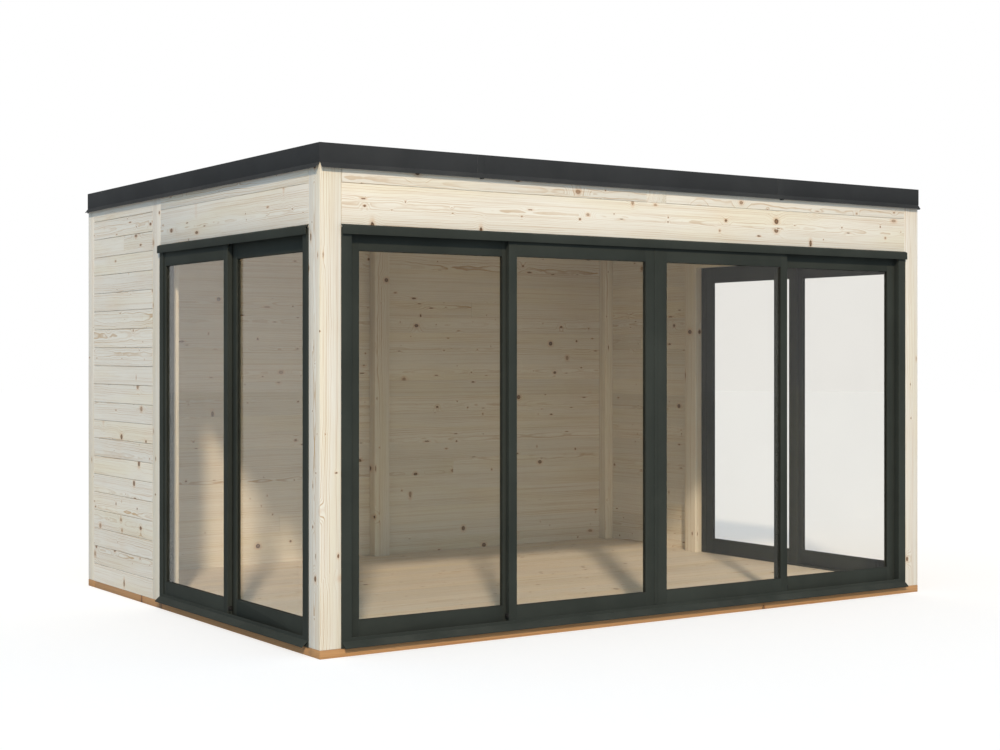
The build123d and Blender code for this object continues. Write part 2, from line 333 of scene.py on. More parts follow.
def group(name, inputs, outputs):
    """A new node group with named sockets: what it is given, and its end node."""
    tree = bpy.data.node_groups.new(name, "ShaderNodeTree")
    kinds = {"v": "NodeSocketVector", "f": "NodeSocketFloat", "c": "NodeSocketColor"}
    for side, sockets in (("INPUT", inputs), ("OUTPUT", outputs)):
        for label, kind in sockets.items():
            tree.interface.new_socket(name=label, in_out=side, socket_type=kinds[kind])
    return tree.nodes.new("NodeGroupInput").outputs, tree.nodes.new("NodeGroupOutput")


def use_group(name, **inputs):
    """Places a group and returns its outputs."""
    return place("Group", {"node_tree": bpy.data.node_groups[name]}, **inputs).outputs


def show(shader, output="Material Output"):
    """Joins a shader to the output of its material or world."""
    feed(shader.id_data.nodes[output], Surface=shader.outputs[0])


def raise_surface(shader, height, distance):
    """Lets a height lift the surface of a shader."""
    feed(shader, Normal=place("Bump", Height=height, Distance=distance).outputs[0])


# Shared effects


def softwood_group():
    """Rings, fibres and knots of sawn softwood. The grain runs along the first coordinate."""
    given, result = group(
        "Softwood",
        {
            "Vector": "v", "Tone": "f", "Pale": "c", "Ring": "c", "Knot": "c",
            "Ring Gap": "f", "Ring Depth": "f", "Knot Size": "f",
        },
        {"Color": "c", "Roughness": "f", "Height": "f"},
    )
    at = given["Vector"]
    parts = separate(at)
    out = vector("LENGTH", vector("MULTIPLY", at, (0.0, 1.0, 1.0)), result=1)
    # One branch to a cell leaves the heart line at any turn, and shows where a face cuts it.
    # Cells go back into metres, or into less for a dash, which is a branch cut lengthwise.
    cells, cell_length, dash_length, cell_width = 3.0, 0.333, 0.09, 1.45
    turn = calc("ARCTAN2", parts[2], parts[1])
    spot = combined(times(parts[0], cells), turn)
    flat = {"voronoi_dimensions": "2D", "feature": "F1"}
    cell = place("TexVoronoi", flat, Vector=spot, Scale=1.0).outputs
    chance = place("SeparateColor", s0=cell["Color"]).outputs
    dash = span(chance[2], 0.7, 0.78)
    lengthwise = span(dash, 0.0, 1.0, cell_length, dash_length)
    reach = combined(lengthwise, times(out, cell_width))
    apart = vector("MULTIPLY", vector("SUBTRACT", spot, cell["Position"]), reach)
    # Most knots are small: chance adds little to the least radius, except now and then
    least, most, dash_most, rarity = 0.0030, 0.015, 0.003, 3.6
    size = calc("POWER", chance[0], rarity)
    size = times(size, span(dash, 0.0, 1.0, most, dash_most), least)
    size = times(size, given["Knot Size"])
    ragged_edge = 0.0044
    far = times(noise(at, 130.0, 3.0), ragged_edge, vector("LENGTH", apart, result=1))
    far = calc("DIVIDE", calc("SUBTRACT", far, ragged_edge / 2), size)
    knot = span(far, 0.72, 1.08, 1.0, 0.0)
    rim = times(span(far, 0.3, 0.8), knot)
    halo = span(far, 0.8, 3.0, 1.0, 0.0)
    pull = times(span(far, 0.2, 6.0, 1.0, 0.0), size)
    # Rings lie round the heart line, which wanders along the length, and bend round a knot
    wander_reach, ripple_reach, knot_push = 0.055, 0.012, 1.6
    wander = calc("SUBTRACT", drawn_out(at, 0.55, 3.0), 0.5)
    out = times(wander, wander_reach, out)
    out = times(drawn_out(at, 6.0, 16.0), ripple_reach, out)
    out = times(pull, knot_push, out)
    count = calc("DIVIDE", out, given["Ring Gap"])
    within = calc("FRACT", count)
    late = times(span(within, 0.4, 0.85), span(within, 0.9, 1.0, 1.0, 0.0))
    # Rings differ in strength, and fade and return along the board
    ring = calc("FLOOR", count)
    odds = place("TexWhiteNoise", {"noise_dimensions": "1D"}, W=ring).outputs["Value"]
    odds = times(calc("POWER", odds, 1.8), 0.85, 0.15)
    patch = drawn_out(at, 1.1, 9.0, 3.0)
    for strength in (odds, span(patch, 0.3, 0.68, 0.3, 1.0), given["Ring Depth"]):
        late = times(late, strength)
    fibre = drawn_out(at, 7.0, 320.0, 2.0, 0.6)
    streak = drawn_out(at, 0.9, 95.0, 3.0, 0.6)
    streak_share, fibre_share = 0.27, 0.14
    amount = times(span(streak, 0.50, 0.68), streak_share, late)
    amount = calc("MULTIPLY_ADD", span(fibre, 0.4, 0.8), fibre_share, amount, clamp=True)
    colour = blend(amount, given["Pale"], given["Ring"])
    # Each board has its own shade, and its colour drifts along it
    darkest, board_range, drift_range = 0.91, 0.10, 0.14
    drift = calc("SUBTRACT", drawn_out(at, 0.7, 4.0), 0.5)
    shade = times(drift, drift_range, times(given["Tone"], board_range, darkest))
    colour = blend(1.0, colour, combined(shade, shade, shade), "MULTIPLY")
    rose_tint, straw_tint = (0.95, 0.72, 0.52), (0.99, 0.965, 0.87)
    rosy = noise(vector("ADD", at, (9.0, 3.0, 5.0)), 2.3)
    rosy = times(span(rosy, 0.52, 0.75), 0.13)
    colour = blend(rosy, colour, rose_tint, "MULTIPLY")
    straw = times(span(drawn_out(at, 0.9, 7.0), 0.45, 0.7), 0.7)
    straw = times(span(given["Tone"], 0.6, 1.0), 0.3, straw)
    colour = blend(straw, colour, straw_tint, "MULTIPLY")
    # Live knots are tan and soft, dead ones brown with a black rim
    flush_tint, bark = (0.82, 0.54, 0.33), (0.05, 0.023, 0.011)
    dead = span(chance[1], 0.2, 0.6)
    flush = times(calc("POWER", halo, 2.0), 0.5)
    colour = blend(flush, colour, flush_tint, "MULTIPLY")
    cover = times(knot, span(dead, 0.0, 1.0, 0.55, 0.95))
    colour = blend(cover, colour, given["Knot"])
    rim = times(rim, span(dead, 0.0, 1.0, 0.25, 0.9))
    # Late rings and knots are smoother than the wood between, and rings and fibres stand proud
    dry, ring_gloss, fibre_dry, knot_gloss = 0.66, -0.12, 0.12, -0.15
    rough = times(amount, ring_gloss, dry)
    rough = times(fibre, fibre_dry, rough)
    height = times(late, 0.5, times(fibre, 0.6))
    height = times(rim, -0.8, height)
    rough = times(knot, knot_gloss, rough)
    feed(result, Color=blend(rim, colour, bark), Roughness=rough, Height=height)


def edge_group():
    """How near a point is to a rounded edge, broken up as wear is."""
    inputs = {"Vector": "v", "Radius": "f", "Amount": "f"}
    given, result = group("EdgeWear", inputs, {"Mask": "f"})
    soft = place("Bevel", {"samples": 4}, Radius=given["Radius"])
    plain = place("NewGeometry", beside=result).outputs["Normal"]
    facing = vector("DOT_PRODUCT", soft.outputs[0], plain, result=1)
    near = span(facing, 0.9, 1.0, 1.0, 0.0)
    broken = span(noise(given["Vector"], 38.0, 4.0, 0.65), 0.42, 0.62)
    feed(result, Mask=times(times(near, broken), given["Amount"]))


def dust_group():
    """Fine dust on faces that look upwards, and soft smears elsewhere."""
    given, result = group("Dust", {"Vector": "v", "Amount": "f"}, {"Mask": "f"})
    normal = place("NewGeometry", beside=result).outputs["Normal"]
    lying = span(separate(normal)[2], 0.2, 0.95, 0.15, 1.0)
    cloud = span(noise(given["Vector"], 3.1, 6.0, 0.62), 0.38, 0.72)
    speck = span(noise(given["Vector"], 260.0), 0.5, 0.8)
    mask = times(lying, times(speck, 0.25, cloud))
    feed(result, Mask=times(mask, given["Amount"]))


# Finishes


def made_once(name):
    """Marks the maker of a finish, which runs when its material is first asked for."""

    def mark(make):
        def find(*along):
            label = name.format(*("XYZ"[axis] for axis in along))
            if label not in bpy.data.materials:
                made = bpy.data.materials.new(label)
                made.use_nodes = True
                shader = made.node_tree.nodes["Principled BSDF"]
                make(shader, place("TexCoord", beside=shader).outputs["Object"], *along)
            return bpy.data.materials[label]

        return find

    return mark


def timber(shader, at, along, pale, ring, ring_depth, knot_size, ring_gap=None, dry=0.0):
    """Sawn timber whose grain runs along one axis, round each solid's own heart."""
    sizes = bpy.context.scene.pod_timber
    worn_tint = (1.12, 1.06, 0.98)
    heart = place("Attribute", {"attribute_name": "heart"}, shader).outputs["Vector"]
    tone = place("Attribute", {"attribute_name": "tone"}, shader).outputs["Fac"]
    parts = separate(vector("SUBTRACT", at, heart))
    order = ((X, Y, Z), (Y, X, Z), (Z, X, Y))[along]
    grain = use_group(
        "Softwood", Vector=combined(*(parts[axis] for axis in order)), Tone=tone,
        Pale=getattr(sizes, pale), Ring=getattr(sizes, ring), Knot=sizes.knot,
        Ring_Gap=ring_gap or sizes.ring_gap, Ring_Depth=ring_depth, Knot_Size=knot_size,
    )
    wear = use_group("EdgeWear", Vector=at, Radius=0.003, Amount=0.35)[0]
    colour = blend(wear, grain["Color"], worn_tint, "MULTIPLY")
    rough = calc("ADD", grain["Roughness"], dry)
    feed(shader, Base_Color=colour, Roughness=rough, Specular_IOR_Level=0.3)
    raise_surface(shader, grain["Height"], 0.0006)


@made_once("pale spruce along {}")
def wall_timber(shader, at, along):
    """The pale spruce of the walls, posts and beams."""
    timber(shader, at, along, "pale", "ring", ring_depth=1.1, knot_size=1.0)


@made_once("floor spruce")
def floor_timber(shader, at):
    """The floor's spruce, a little warmer and smoother than the walls."""
    timber(shader, at, X, "floor", "ring", ring_depth=1.0, knot_size=0.9, dry=-0.1)


@made_once("treated wood along {}")
def base_timber(shader, at, along):
    """The brown pressure-treated wood of the base."""
    timber(
        shader, at, along, "treated", "treated_ring",
        ring_depth=0.9, knot_size=1.1, ring_gap=0.006, dry=0.08,
    )


def coated_metal(shader, at, colour, worn, gloss):
    """Powder-coated metal with fine grain, dust and lightly worn edges."""
    dust_colour = (0.36, 0.34, 0.30)
    cloud = noise(at, 2.4, 4.0, 0.6)
    shade = blend(span(cloud, 0.3, 0.7), colour, [c * 1.22 for c in colour])
    dust = use_group("Dust", Vector=at, Amount=0.06)[0]
    shade = blend(dust, shade, dust_colour)
    wear = use_group("EdgeWear", Vector=at, Radius=0.0022, Amount=0.5)[0]
    shade = blend(wear, shade, worn)
    grain = noise(at, 850.0, 2.0, 0.6)
    rough = times(grain, 0.10, gloss)
    rough = times(dust, 1.2, rough)
    rough = times(cloud, 0.08, rough)
    feed(shader, Base_Color=shade, Roughness=rough, Specular_IOR_Level=0.05, IOR=1.25)
    raise_surface(shader, grain, 0.00025)


@made_once("door powder coat")
def door_metal(shader, at):
    """The green-grey anthracite of the door profiles."""
    colour = bpy.context.scene.pod_doors.metal
    coated_metal(shader, at, colour, worn=(0.10, 0.11, 0.105), gloss=0.5)


@made_once("roof edge coat")
def edge_metal(shader, at):
    """The anthracite sheet of the roof edge."""
    colour = bpy.context.scene.pod_roof.metal
    coated_metal(shader, at, colour, worn=(0.12, 0.12, 0.125), gloss=0.54)


@made_once("black seal rubber")
def seal_rubber(shader, at):
    """The black rubber of gaskets, seals, clips and beads."""
    black, worn_black, bloom_grey = [0.010] * 3, [0.018] * 3, [0.10] * 3
    mottle = noise(at, 60.0, 4.0, 0.6)
    bloom = use_group("Dust", Vector=at, Amount=0.04)[0]
    shade = blend(bloom, blend(mottle, black, worn_black), bloom_grey)
    rough = span(mottle, 0.2, 0.8, 0.5, 0.7)
    feed(shader, Base_Color=shade, Roughness=rough, Specular_IOR_Level=0.15)
    raise_surface(shader, noise(at, 700.0), 0.0002)


@made_once("screw zinc")
def screw_steel(shader, at):
    """The dull zinc of the screws."""
    dull, bright = (0.30, 0.30, 0.31), (0.48, 0.48, 0.47)
    mottle = noise(at, 420.0, 3.0, 0.6)
    rough = span(mottle, 0.2, 0.8, 0.35, 0.5)
    feed(shader, Base_Color=blend(mottle, dull, bright), Roughness=rough, Metallic=0.9)


@made_once("roof membrane")
def roof_sheet(shader, at):
    """The roof's black membrane, with fine dust and faint stains where rain has dried."""
    dust_colour, stain_colour = (0.30, 0.29, 0.27), (0.30, 0.28, 0.25)
    dark = bpy.context.scene.pod_roof.membrane
    cloud = noise(at, 1.3, 6.0, 0.6)
    shade = blend(span(cloud, 0.3, 0.7), dark, [c * 1.25 for c in dark])
    dust = use_group("Dust", Vector=at, Amount=0.045)[0]
    shade = blend(dust, shade, dust_colour)
    stain = times(span(noise(at, 0.9, 3.0), 0.5, 0.7), 0.035)
    shade = blend(stain, shade, stain_colour)
    rough = span(cloud, 0.3, 0.7, 0.78, 0.9)
    feed(shader, Base_Color=shade, Roughness=rough, Specular_IOR_Level=0.12)
    fine = times(noise(at, 420.0), 0.3, cloud)
    raise_surface(shader, fine, 0.001)


@made_once("clear glass")
def clear_glass(shader, at):
    """Clear float glass that lets light and shadow through."""
    view_tint, light_tint = (0.96, 0.945, 0.915), (1.0, 0.95, 0.85)
    clean = bpy.context.scene.pod_doors.glass
    film = span(noise(at, 1.8, 5.0, 0.6), 0.3, 0.75)
    shade = blend(film, clean, [c * 0.985 for c in clean])
    rough = span(film, 0.0, 1.0, 0.0, 0.006)
    feed(shader, Base_Color=shade, Roughness=rough, Transmission_Weight=1.0, IOR=1.3)
    path = place("LightPath", beside=shader).outputs
    passing = blend(path["Is Diffuse Ray"], view_tint, light_tint)
    clear = place("BsdfTransparent", Color=passing)
    through = calc("MAXIMUM", path["Is Shadow Ray"], path["Is Diffuse Ray"])
    show(place("MixShader", s0=through, s1=shader.outputs[0], s2=clear.outputs[0]))


def in_view(path, mirrored):
    """How much of the plain white a ray sees: all of it straight on or through glass."""
    seen = calc("MAXIMUM", path["Is Camera Ray"], mirrored)
    return calc("MAXIMUM", seen, path["Is Transmission Ray"])


@made_once("stage floor")
def stage_ground(shader, at):
    """A matt floor that looks white and keeps the pod's shadow."""
    faint = noise(at, 0.7)
    pale = blend(faint, [0.60] * 3, [0.61] * 3)
    feed(shader, Base_Color=pale, Roughness=1.0, Specular_IOR_Level=0.0)
    colour = bpy.context.scene.pod_stage.floor_glow
    path = place("LightPath", beside=shader).outputs
    seen = in_view(path, times(path["Is Glossy Ray"], 0.3))
    glow = place("Emission", Color=colour, Strength=seen)
    show(place("AddShader", s0=shader.outputs[0], s1=glow.outputs[0]))


# Settings


def length(name, description, default):
    """A length setting in metres."""
    return bpy.props.FloatProperty(
        name=name, description=description, default=default, min=0.0, unit="LENGTH", precision=4
    )


def strength(name, description, default):
    """The strength of a lamp."""
    return bpy.props.FloatProperty(name=name, description=description, default=default, min=0.0)


def tint(name, description, default):
    """A colour setting."""
    return bpy.props.FloatVectorProperty(
        name=name, description=description, default=default,
        size=3, min=0.0, max=1.0, subtype="COLOR",
    )


class PodTimberSettings(bpy.types.PropertyGroup):
    """Sizes and colours of the timber."""

    joint: length("Joint", "Gap between two wall boards", 0.002)
    chamfer: length("Chamfer", "Chamfer along the edges of the wall boards", 0.002)
    tongue: length("Tongue", "Reach of the tongue into the next board", 0.009)
    edge: length("Edge", "Rounding of the posts and beams", 0.004)
    floor_board: length("Floor board", "Width of one floor board", 0.117)
    floor_joint: length("Floor joint", "Gap between two floor boards", 0.0012)
    ring_gap: length("Ring gap", "Distance between two growth rings", 0.0055)
    pale: tint("Pale wood", "Colour of the pale spruce", (0.818, 0.784, 0.712))
    ring: tint("Ring wood", "Colour of the late rings", (0.56, 0.40, 0.25))
    knot: tint("Knot", "Colour of the knots", (0.235, 0.125, 0.058))
    floor: tint("Floor wood", "Colour of the floor boards", (0.815, 0.76, 0.70))
    treated: tint("Treated wood", "Colour of the base", (0.525, 0.297, 0.138))
    treated_ring: tint("Treated ring", "Colour of the rings of the base", (0.33, 0.15, 0.06))


class PodRoofSettings(bpy.types.PropertyGroup):
    """Sizes and colours of the roof."""

    membrane_width: length("Membrane width", "Width of one run of membrane", 1.0)
    seam: length("Seam", "Width of the welded seam between two runs", 0.05)
    strap: length("Strap", "Width of the strap over a joint of the roof edge", 0.05)
    sheet: length("Strap thickness", "How far a strap stands off the sheet", 0.0008)
    screw_pitch: length("Screw pitch", "Distance between two screws of the roof edge", 0.38)
    metal: tint("Edge metal", "Colour of the roof edge", (0.0345, 0.0363, 0.0385))
    membrane: tint("Membrane", "Colour of the membrane", (0.022, 0.022, 0.024))


class PodDoorSettings(bpy.types.PropertyGroup):
    """Sizes and colours of the doors."""

    bite: length("Glass bite", "Depth of the glass inside its profile", 0.012)
    gasket: length("Gasket", "Width of the gasket that shows round the glass", 0.002)
    gasket_lip: length("Gasket lip", "How far the gasket stands off the glass", 0.002)
    profile_edge: length("Profile edge", "Rounding of the profiles", 0.0012)
    metal: tint("Door metal", "Colour of the door profiles", (0.0333, 0.0382, 0.0340))
    glass: tint("Glass", "Tint of the glass", (0.915, 0.905, 0.88))


class PodStageSettings(bpy.types.PropertyGroup):
    """Light, camera and floor."""

    sun: strength("Sun", "Strength of the low lamp", 2.5)
    glow: strength("Glow", "Strength of the soft lamp round the low one", 0.40)
    sun_colour: tint("Sun colour", "Colour of the low lamp", (1.0, 0.84, 0.64))
    sky_front: tint("Front sky", "Soft light from the front and left", (0.273, 0.466, 0.662))
    sky_back: tint("Back sky", "Soft light from the back and right", (0.62, 0.55, 0.46))
    floor_glow: tint("Floor glow", "White added to the floor in view", (0.505, 0.497, 0.496))
    lens: length("Lens", "Focal length of the camera", 0.060307)


# Operators


class POD_OT_walls(bpy.types.Operator):
    """Builds the three walls from tongued boards"""

    bl_idname = "pod.walls"
    bl_label = "Walls"

    # Rows of boards up to the header's top
    courses = 20
    # Half the gap where two boards of a row meet, and by row, how far along that is
    butt = 0.0006
    walls = (
        ("wall_left", Y, -1, {18: 0.47}),
        ("wall_right", Y, 1, {5: 0.4, 13: 0.62}),
        ("wall_back", X, 1, {2: 0.31, 5: 0.66, 9: 0.45, 12: 0.24, 15: 0.7, 18: 0.38}),
    )
    # The gap and chamfer at a board's inner face, and the tongue's play at its sides and end
    inner_gap, inner_chamfer, side_play, end_play = 0.0003, 0.0006, 0.0005, 0.001

    def outline(self, sizes, cover, thick, tongue, groove):
        """A board's outline, as depths from its outer face and heights from its foot."""
        half, chamfer, deep, fine = thick / 2, sizes.chamfer, sizes.tongue, self.inner_chamfer
        top, tight, pin = cover - sizes.joint, cover - self.inner_gap, thick / 6
        slot = pin + self.side_play
        points = [(chamfer, 0.0)]
        if groove:
            points += [(half - slot, 0.0), (half - slot, deep)]
            points += [(half + slot, deep), (half + slot, 0.0)]
        points += [(thick - fine, 0.0), (thick, fine), (thick, tight - fine), (thick - fine, tight)]
        high = cover + deep - self.end_play if tongue else tight
        points += [(half + pin, tight), (half + pin, high), (half - pin, high), (half - pin, top)]
        return points + [(chamfer, top), (0.0, top - chamfer), (0.0, chamfer)]

    def wall(self, node, along, outward, joints):
        """One wall of boards in the space of its CAD node."""
        sizes = bpy.context.scene.pod_timber
        low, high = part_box(node)
        across = 1 - along
        outside = (low if outward < 0 else high)[across]
        thick = high[across] - low[across]
        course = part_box("header_front")[1].z
        cover = (course - low.z) / self.courses
        rows = round((high.z - low.z) / cover)
        start, end = low[along], high[along]
        bm = bmesh.new()
        for row in range(rows):
            runs = [(start, end)]
            if row in joints:
                cut = start + joints[row] * (end - start)
                runs = [(start, cut - self.butt), (cut + self.butt, end)]
            foot = low.z + row * cover
            tall = cover if foot + cover < course + LEVEL else high.z - course
            outline = self.outline(sizes, tall, thick, row < rows - 1, row > 0)
            for near, far in runs:
                face = bm.faces.new([
                    bm.verts.new(level_point(along, near, outside - outward * depth, foot + up))
                    for depth, up in outline
                ])
                push_out(bm, [face], level_point(along, far - near, 0.0))
        bmesh.ops.recalc_face_normals(bm, faces=bm.faces)
        mark_hearts(bm, node, along, reach=0.065, spread=0.13)
        stand_in(node, f"{node}_boards", bm, wall_timber(along))

    def execute(self, context):
        for wall in self.walls:
            self.wall(*wall)
        return {"FINISHED"}


class POD_OT_posts(bpy.types.Operator):
    """Builds the posts, the beams over the openings and the roof timbers"""

    bl_idname = "pod.posts"
    bl_label = "Posts and beams"

    nodes = {
        Z: (
            "post_front_left", "post_front_right", "post_back_left", "post_back_right",
            "post_side_left", "post_side_right", "post_back_middle",
        ),
        X: ("header_front", "top_boards_long", "roof_kerbs_long"),
        Y: (
            "header_left", "header_right", "top_boards_short",
            "roof_beam", "roof_joists", "roof_firrings", "roof_kerbs_short",
        ),
    }

    def execute(self, context):
        edge = context.scene.pod_timber.edge
        gap = context.scene.pod_timber.joint * 0.75
        for along, nodes in self.nodes.items():
            width, segments = (edge, 3) if along == Z else (edge / 2, 2)
            for node in nodes:
                bm = merged_copy(node)
                if node == "top_boards_long":
                    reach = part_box("post_front_right")[0].x - gap * 1.5
                    keep_between(bm, X, -reach, reach)
                if node.startswith("top_boards"):
                    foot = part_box(node)[0].z
                    lower = [v for v in bm.verts if v.co.z < foot + LEVEL]
                    bmesh.ops.translate(bm, vec=(0.0, 0.0, gap), verts=lower)
                round_edges(bm, width, segments)
                mark_hearts(bm, node, along, reach=0.085, spread=0.12)
                stand_in(node, f"{node}_timber", bm, wall_timber(along))
        return {"FINISHED"}


class POD_OT_base(bpy.types.Operator):
    """Builds the treated base, the floor boards and the ceiling boards"""

    bl_idname = "pod.base"
    bl_label = "Base and floor"

    bearers = {"base_bearers_long": X, "base_bearers_short": Y, "floor_joists": Y}
    bearer_edge, board_edge = 0.002, 0.0009

    def strips(self, node, name, finish, slot):
        """Makes the node of boards along X, each with softened edges."""
        sizes = bpy.context.scene.pod_timber
        low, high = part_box(node)
        count = round((high.y - low.y) / sizes.floor_board)
        pitch, half = (high.y - low.y) / count, sizes.floor_joint / 2
        parts = []
        for index in range(count):
            start, end = low.y + index * pitch, low.y + (index + 1) * pitch
            parts.append(slice_of(node, Y, start + half, end - half, self.board_edge, 1))
        bm = joined(parts)
        mark_hearts(bm, name, X, reach=0.06, spread=0.12)
        stand_in(node, f"{name}_boards", bm, finish)

    def execute(self, context):
        for node, along in self.bearers.items():
            bm = merged_copy(node)
            round_edges(bm, self.bearer_edge)
            mark_hearts(bm, node, along, reach=0.08, spread=0.06)
            stand_in(node, f"{node}_timber", bm, base_timber(along))
        self.strips("floor_deck", "floor", floor_timber(), "floor_wood")
        self.strips("roof_deck", "ceiling", wall_timber(X), "wall_wood")
        return {"FINISHED"}


class POD_OT_roof(bpy.types.Operator):
    """Builds the roof's membrane and its folded metal edge"""

    bl_idname = "pod.roof"
    bl_label = "Roof"

    # Each side's direction and outward way, and where its sheets are joined
    sides = {
        "front": (X, -1, (-1.165, 0.935)),
        "back": (X, 1, (-0.935, 1.165)),
        "left": (Y, -1, ()),
        "right": (Y, 1, ()),
    }
    sheet_edge, strap_edge, clip_edge = 0.0007, 0.0004, 0.0006
    # How much lower the sheet's foot is than a strap's, and how much higher its top
    strap_foot, strap_top = 0.0085, 0.0003
    # A clip's half width, its reach outwards from the kerb, and its heights from the sheet's foot
    clip_half, clip_reach, clip_heights = 0.007, (0.001, 0.021), (-0.003, 0.006)
    # The first screw's place along the sheet, each one's inwards from the kerb's face, and its sink
    screw_start, screw_inset, screw_sink = 0.15, 0.040, 0.0002
    # A screw head's radius, its top's radius and its height
    head_radius, head_top, head_height = 0.005, 0.00275, 0.0014
    # The seams' lift and edge, half a bead's width and its lift
    seam_lift, seam_edge, bead_half, bead_lift = 0.002, 0.0012, 0.004, 0.0035
    # The membrane's upturned edge: its thickness, and its reach into the kerb and below its top
    upturn, upturn_reach = 0.003, 0.001

    def sheet(self, node, run, shift, joints, width):
        """One side's folded sheet, with a strap over each joint."""
        low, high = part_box(node)
        parts = [merged_copy(node)]
        round_edges(parts[0], self.sheet_edge)
        for joint in joints:
            strap = merged_copy(node)
            keep_between(strap, run, joint - width / 2, joint + width / 2)
            keep_between(strap, Z, low.z + self.strap_foot, high.z - self.strap_top)
            bmesh.ops.translate(strap, vec=shift, verts=strap.verts)
            round_edges(strap, self.strap_edge)
            parts.append(strap)
        stand_in(node, f"{node}_sheet", joined(parts), edge_metal())

    def clips(self, node, run, wall, outward, joints):
        """The black clips that close the sheet's foot at its joints."""
        depths = [wall + outward * reach for reach in self.clip_reach]
        heights = [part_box(node)[0].z + height for height in self.clip_heights]
        bm = bmesh.new()
        for joint in joints:
            block(bm, run, (joint - self.clip_half, joint + self.clip_half), depths, heights)
        round_edges(bm, self.clip_edge)
        finished(f"{node}_clips", bm, seal_rubber(), "root")

    def screws(self, node, run, deep, pitch):
        """The row of screws along the sheet's top."""
        low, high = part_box(node)
        row = high[run] - low[run] - self.screw_start * 2
        count = round(row / pitch)
        bm = bmesh.new()
        for index in range(count + 1):
            along = low[run] + self.screw_start + row * index / count
            middle = high.z - self.screw_sink - self.head_height / 2
            at = Matrix.Translation(level_point(run, along, deep, middle))
            bmesh.ops.create_cone(
                bm, cap_ends=True, segments=10, matrix=at, depth=self.head_height,
                radius1=self.head_radius, radius2=self.head_top,
            )
        finished(f"{node}_screws", bm, screw_steel(), "root")

    def membrane(self, sizes):
        """The membrane with its welded seams and upturned edge, and the seams' beads."""
        node = "roof_membrane"
        low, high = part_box(node)
        count = round((high.x - low.x) / sizes.membrane_width)
        pitch, bead = (high.x - low.x) / count, self.bead_half
        parts, beads = [merged_copy(node)], []
        for index in range(1, count):
            left = low.x + index * pitch - sizes.seam / 2
            right = low.x + index * pitch + sizes.seam / 2
            for start, end, lift, pile in (
                (left, right, self.seam_lift, parts),
                (left - bead, left + bead, self.bead_lift, beads),
                (right - bead, right + bead, self.bead_lift, beads),
            ):
                strip = slice_of(node, X, start, end, self.seam_edge)
                bmesh.ops.translate(strip, vec=(0.0, 0.0, lift), verts=strip.verts)
                pile.append(strip)
        thick, past = self.upturn, self.upturn_reach
        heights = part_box("roof_deck")[0].z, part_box("roof_kerbs_long")[1].z - past
        bm = bmesh.new()
        for run, row in ((X, (low.x - past, high.x + past)), (Y, (low.y + thick, high.y - thick))):
            near, far = low[1 - run], high[1 - run]
            for depths in ((near - past, near + thick), (far - thick, far + past)):
                block(bm, run, row, depths, heights)
        parts.append(bm)
        stand_in(node, "roof_sheet", joined(parts), roof_sheet())
        finished("roof_seam_beads", joined(beads), seal_rubber(), "root")

    def execute(self, context):
        sizes = context.scene.pod_roof
        self.membrane(sizes)
        for side, (run, outward, joints) in self.sides.items():
            node = f"roof_edge_{side}"
            low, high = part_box("roof_kerbs_long" if run == X else "roof_kerbs_short")
            wall = (low if outward < 0 else high)[1 - run]
            shift = level_point(run, 0.0, outward * sizes.sheet)
            self.sheet(node, run, shift, joints, sizes.strap)
            if joints:
                self.clips(node, run, wall, outward, joints)
            self.screws(node, run, wall - outward * self.screw_inset, sizes.screw_pitch)
        return {"FINISHED"}


